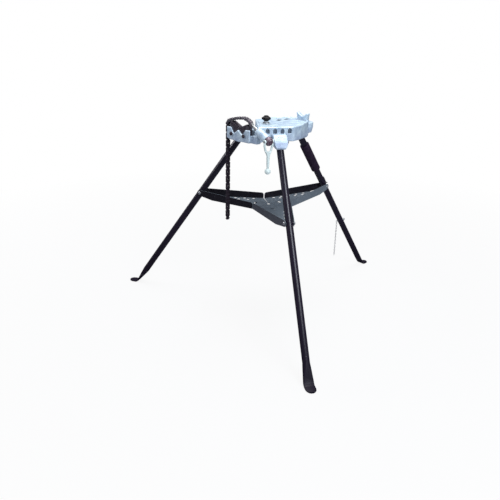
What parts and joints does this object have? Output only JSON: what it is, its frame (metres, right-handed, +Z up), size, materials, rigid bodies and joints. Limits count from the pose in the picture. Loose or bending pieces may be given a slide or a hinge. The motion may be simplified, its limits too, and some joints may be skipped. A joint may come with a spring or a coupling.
{
  "type": "tripod pipe vise",
  "caption": "Portable stand that clamps a pipe with a chain and a toothed jaw, on a cast deck with folding tube legs and a folding tool tray.",
  "frame": {"origin": "on the floor, under the middle of the outline in plan", "axes": "+X from the vise end to the rear leg, along a clamped pipe; +Y from the crank's side to the other; +Z up"},
  "size_m": [1.124, 1.2312, 0.8802],
  "materials": {
    "cast_silver": "silver-grey enamel over a sand casting",
    "black_tube": "gloss black enamel on steel tube",
    "tray_slate": "satin slate enamel on sheet steel",
    "dark_steel": "oiled dark steel",
    "oiled_chain": "oiled chain steel",
    "bright_zinc": "bright zinc plate",
    "pale_handle": "pale plated forging",
    "hub_brown": "brown oxide, with small wrench marks",
    "grip_black": "smooth black rubber",
    "knob_black": "moulded black"
  },
  "bodies": {
    "base": {"base_casting": "cast_silver", "vise_jaw": "dark_steel", "back_jaw_bolt": "dark_steel", "front_jaw_bolt": "dark_steel", "brace_collar": "bright_zinc", "front_leg_bolt": "dark_steel", "front_leg_nut": "dark_steel", "left_leg_bolt": "dark_steel", "left_leg_nut": "dark_steel", "rear_leg_bolt": "dark_steel", "rear_leg_nut": "dark_steel"},
    "front_leg": {"front_leg": "black_tube", "front_tray_pin": "dark_steel"},
    "left_leg": {"left_leg": "black_tube", "left_tray_pin": "dark_steel"},
    "rear_leg": {"rear_leg": "black_tube", "rear_tray_pin": "dark_steel", "carry_grip": "grip_black", "lock_rivet": "bright_zinc", "eye_bolt": "bright_zinc", "eye_nut": "bright_zinc"},
    "tray_centre": {"tray_hinge": "dark_steel", "front_hinge_pin": "dark_steel", "left_hinge_pin": "dark_steel", "rear_hinge_pin": "dark_steel"},
    "tension_screw": {"tension_screw": "bright_zinc"},
    "crank": {"crank_hub": "hub_brown", "crank_pin_inner": "bright_zinc", "crank_pin_outer": "bright_zinc"},
    "crank_handle": {"crank_handle": "pale_handle"},
    "chain_arc": {"chain_arc": "oiled_chain"},
    "chain_run_1": {"chain_run_1": "oiled_chain"},
    "chain_run_2": {"chain_run_2": "oiled_chain"},
    "chain_run_3": {"chain_run_3": "oiled_chain"},
    "brace_screw": {"brace_screw": "bright_zinc"},
    "brace_knob": {"brace_knob": "knob_black"},
    "leg_lock": {"leg_lock": "dark_steel"},
    "safety_chain": {"safety_chain": "bright_zinc"},
    "front_leaf": {"front_leaf": "tray_slate", "front_ear_rivet_a": "bright_zinc", "front_ear_rivet_b": "bright_zinc"},
    "left_leaf": {"left_leaf": "tray_slate", "left_ear_rivet_a": "bright_zinc", "left_ear_rivet_b": "bright_zinc"},
    "rear_leaf": {"rear_leaf": "tray_slate", "rear_ear_rivet_a": "bright_zinc", "rear_ear_rivet_b": "bright_zinc"}
  },
  "joints": [
    {"name": "front_leg_fold", "type": "hinge", "parent": "base", "child": "front_leg", "pos_m": [-0.26183, -0.11059, 0.77], "axis": [0.866, -0.5, 0], "range_deg": [0, 28.45]},
    {"name": "left_leg_fold", "type": "hinge", "parent": "base", "child": "left_leg", "pos_m": [-0.26183, 0.11059, 0.77], "axis": [-0.866, -0.5, 0], "range_deg": [0, 28.46]},
    {"name": "rear_leg_fold", "type": "hinge", "parent": "base", "child": "rear_leg", "pos_m": [-0.03508, 0, 0.77], "axis": [0, 1, 0], "range_deg": [0, 20.14]},
    {"name": "tray_lift", "type": "slide", "parent": "base", "child": "tray_centre", "axis": [0, 0, 1], "range_m": [0, 0.2106]},
    {"name": "front_leaf_tilt", "type": "hinge", "parent": "tray_centre", "child": "front_leaf", "pos_m": [-0.22898, -0.05369, 0.466], "axis": [0.866, -0.5, 0], "range_deg": [0, 73.54]},
    {"name": "left_leaf_tilt", "type": "hinge", "parent": "tray_centre", "child": "left_leaf", "pos_m": [-0.22898, 0.05369, 0.466], "axis": [-0.866, -0.5, 0], "range_deg": [0, 73.54]},
    {"name": "rear_leaf_tilt", "type": "hinge", "parent": "tray_centre", "child": "rear_leaf", "pos_m": [-0.13598, 0, 0.466], "axis": [0, 1, 0], "range_deg": [0, 56.29]},
    {"name": "crank_turn", "type": "hinge", "parent": "base", "child": "crank", "pos_m": [-0.38799, -0.17997, 0.79885], "axis": [0, -0.8957, -0.4446], "range_deg": [-576, 36]},
    {"name": "tension_slide", "type": "slide", "parent": "base", "child": "tension_screw", "axis": [0, -0.8957, -0.4446], "range_m": [-0.00801, 0.00051]},
    {"name": "handle_swing", "type": "hinge", "parent": "crank", "child": "crank_handle", "pos_m": [-0.38799, -0.17997, 0.79885], "axis": [1, 0, 0], "range_deg": [-120, 3]},
    {"name": "chain_lift", "type": "hinge", "parent": "tension_screw", "child": "chain_arc", "pos_m": [-0.38799, -0.087, 0.845], "axis": [1, 0, 0], "range_deg": [0, 90]},
    {"name": "chain_upper_swing", "type": "hinge", "parent": "chain_arc", "child": "chain_run_1", "pos_m": [-0.38799, 0.053, 0.83583], "axis": [1, 0, 0], "range_deg": [-1, 28]},
    {"name": "chain_middle_swing", "type": "hinge", "parent": "chain_run_1", "child": "chain_run_2", "pos_m": [-0.38799, 0.053, 0.70353], "axis": [1, 0, 0], "range_deg": [-25, 25]},
    {"name": "chain_lower_swing", "type": "hinge", "parent": "chain_run_2", "child": "chain_run_3", "pos_m": [-0.38799, 0.053, 0.57123], "axis": [1, 0, 0], "range_deg": [-25, 25]},
    {"name": "brace_lift", "type": "slide", "parent": "base", "child": "brace_screw", "axis": [0, 0, 1], "range_m": [0, 0.012]},
    {"name": "brace_turn", "type": "hinge", "parent": "brace_screw", "child": "brace_knob", "pos_m": [-0.23098, 0, 0.836], "axis": [0, 0, 1], "range_deg": [0, 1440.5]},
    {"name": "lock_swing", "type": "hinge", "parent": "rear_leg", "child": "leg_lock", "pos_m": [0.14859, 0, 0.54055], "axis": [0.8108, 0, 0.5854], "range_deg": [-60, 60]},
    {"name": "safety_chain_swing", "type": "hinge", "parent": "rear_leg", "child": "safety_chain", "pos_m": [0.28082, 0, 0.294], "axis": [0, 1, 0], "range_deg": [-25, 60]}
  ],
  "couplings": [
    {"joint": "left_leg_fold", "follows": "front_leg_fold", "ratio": 1},
    {"joint": "rear_leg_fold", "follows": "front_leg_fold", "ratio": 0.70738},
    {"joint": "tray_lift", "follows": "front_leg_fold", "m_per_rad": 0.42389},
    {"joint": "front_leaf_tilt", "follows": "front_leg_fold", "ratio": 2.584},
    {"joint": "left_leaf_tilt", "follows": "front_leg_fold", "ratio": 2.584},
    {"joint": "rear_leaf_tilt", "follows": "front_leg_fold", "ratio": 1.9776},
    {"joint": "tension_slide", "follows": "crank_turn", "m_per_rad": 0.00079577},
    {"joint": "brace_turn", "follows": "brace_lift", "rad_per_m": 2094.4}
  ]
}
